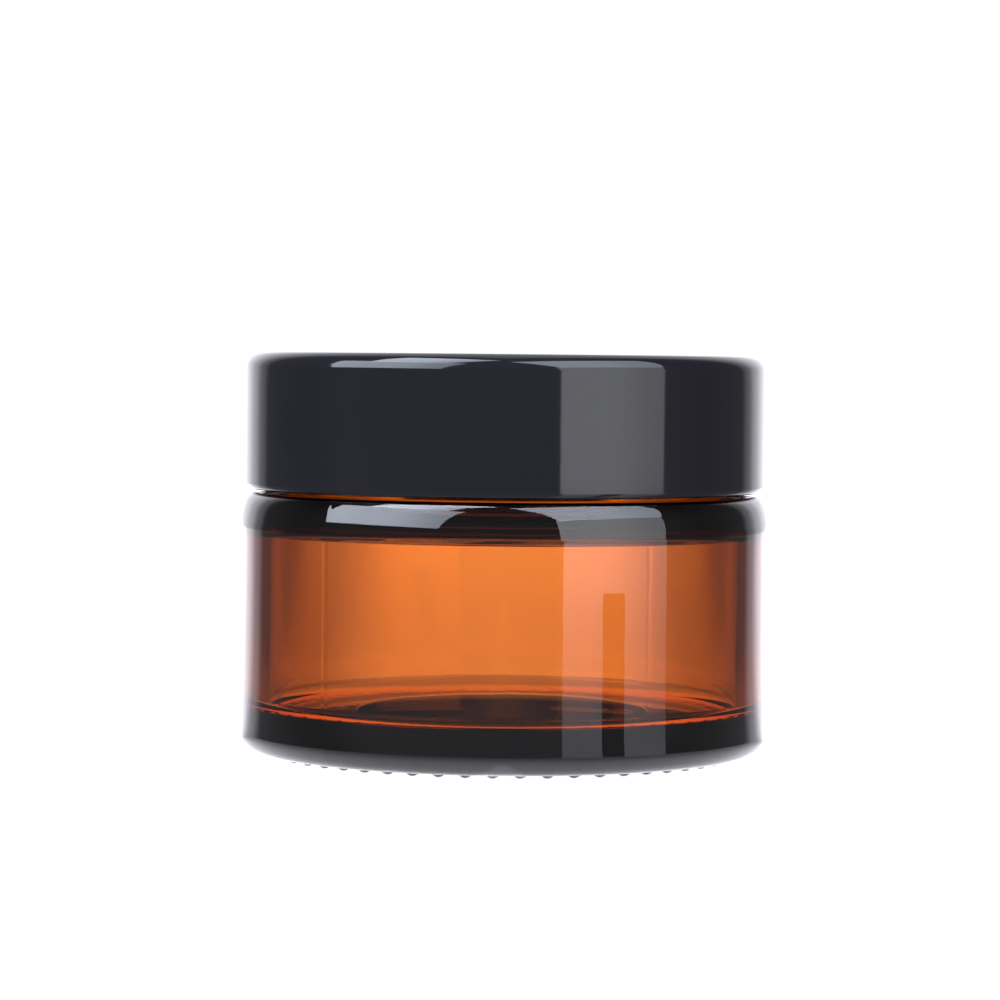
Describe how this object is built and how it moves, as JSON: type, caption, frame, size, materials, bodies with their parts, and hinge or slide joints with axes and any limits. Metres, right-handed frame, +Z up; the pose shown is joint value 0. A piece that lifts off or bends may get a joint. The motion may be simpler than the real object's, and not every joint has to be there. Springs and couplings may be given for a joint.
{
  "type": "cosmetic cream jar",
  "caption": "Straight-sided amber glass cream jar with a glossy black double-walled screw lid, foam liner and sealing disc.",
  "frame": {"origin": "on the jar's axis, in the plane that the studs under its base stand on", "axes": "+Z up along the jar's axis; the disc's pull tab is rooted on the -Y side"},
  "size_m": [0.052, 0.052, 0.0394],
  "materials": {
    "amber_glass": "smooth, clear amber",
    "natural_plastic": "satin, milky natural",
    "white_foam": "closed-cell foam",
    "satin_black": "satin moulded",
    "gloss_black": "high gloss"
  },
  "bodies": {
    "jar": {"glass_jar": "amber_glass"},
    "disc": {"sealing_disc": "natural_plastic"},
    "liner": {"lid_liner": "white_foam"},
    "lid": {"lid_insert": "satin_black", "lid_shell": "gloss_black"}
  },
  "joints": [
    {"name": "lid_lift", "type": "slide", "parent": "jar", "child": "liner", "axis": [0, 0, 1], "range_m": [0, 0.0212]},
    {"name": "lid_turn", "type": "hinge", "parent": "liner", "child": "lid", "pos_m": [0, 0, 0.026], "axis": [0, 0, 1], "range_deg": [0, 1800]},
    {"name": "disc_lift", "type": "slide", "parent": "jar", "child": "disc", "axis": [0, 0, 1], "range_m": [0, 0.0085]}
  ],
  "couplings": [
    {"joint": "lid_lift", "follows": "lid_turn", "m_per_rad": 0.00067376},
    {"joint": "disc_lift", "follows": "lid_turn", "m_per_rad": 0.0002695}
  ]
}
